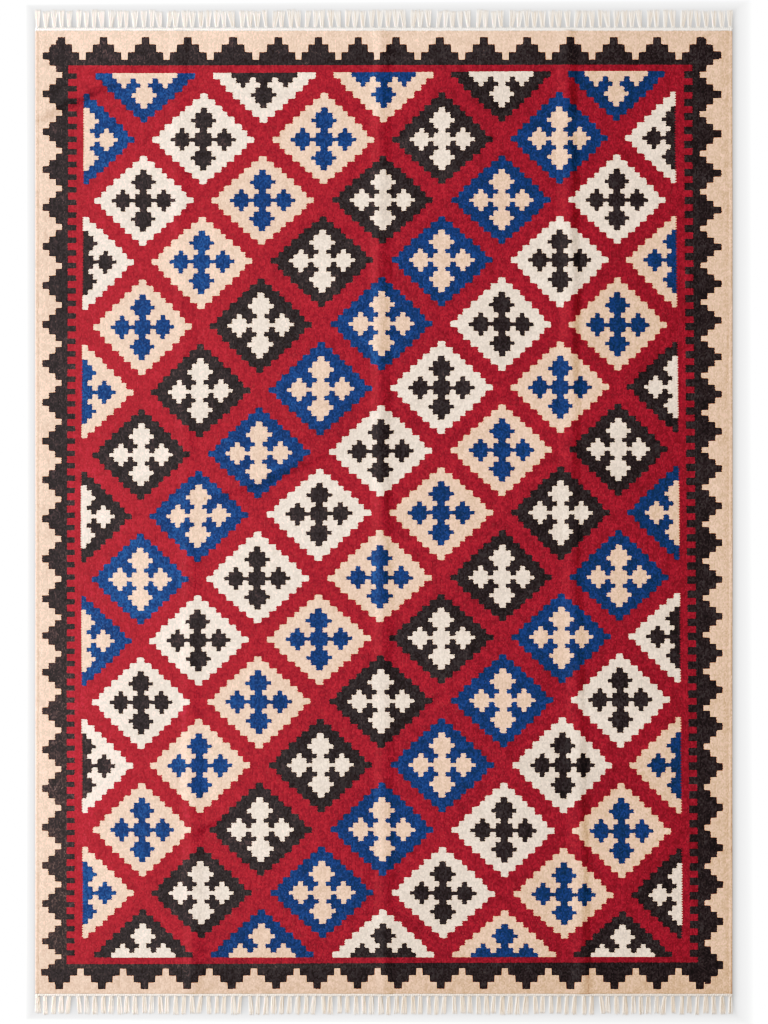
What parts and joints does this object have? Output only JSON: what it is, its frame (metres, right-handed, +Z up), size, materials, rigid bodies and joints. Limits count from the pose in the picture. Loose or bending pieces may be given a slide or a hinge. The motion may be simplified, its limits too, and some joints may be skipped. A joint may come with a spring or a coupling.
{
  "type": "kilim rug",
  "caption": "Flat-woven wool rug laid flat, with a stepped diamond lattice, a toothed border and a knotted cotton fringe on each end.",
  "frame": {"origin": "middle of the rug's underside, on the floor", "axes": "+Z up out of the pattern side, +Y along the rug's length towards its far fringe, +X across its width to the right"},
  "size_m": [1.25, 1.8, 0.0055],
  "materials": {
    "wool_weave": "matte weft-faced wool tapestry weave in red, black, cream, tan and blue",
    "cotton_fringe": "matte undyed cotton yarn, loosely twisted"
  },
  "bodies": {
    "root": {"woven_cloth": "wool_weave", "fringe_far_end": "cotton_fringe", "fringe_near_end": "cotton_fringe"}
  },
  "joints": []
}
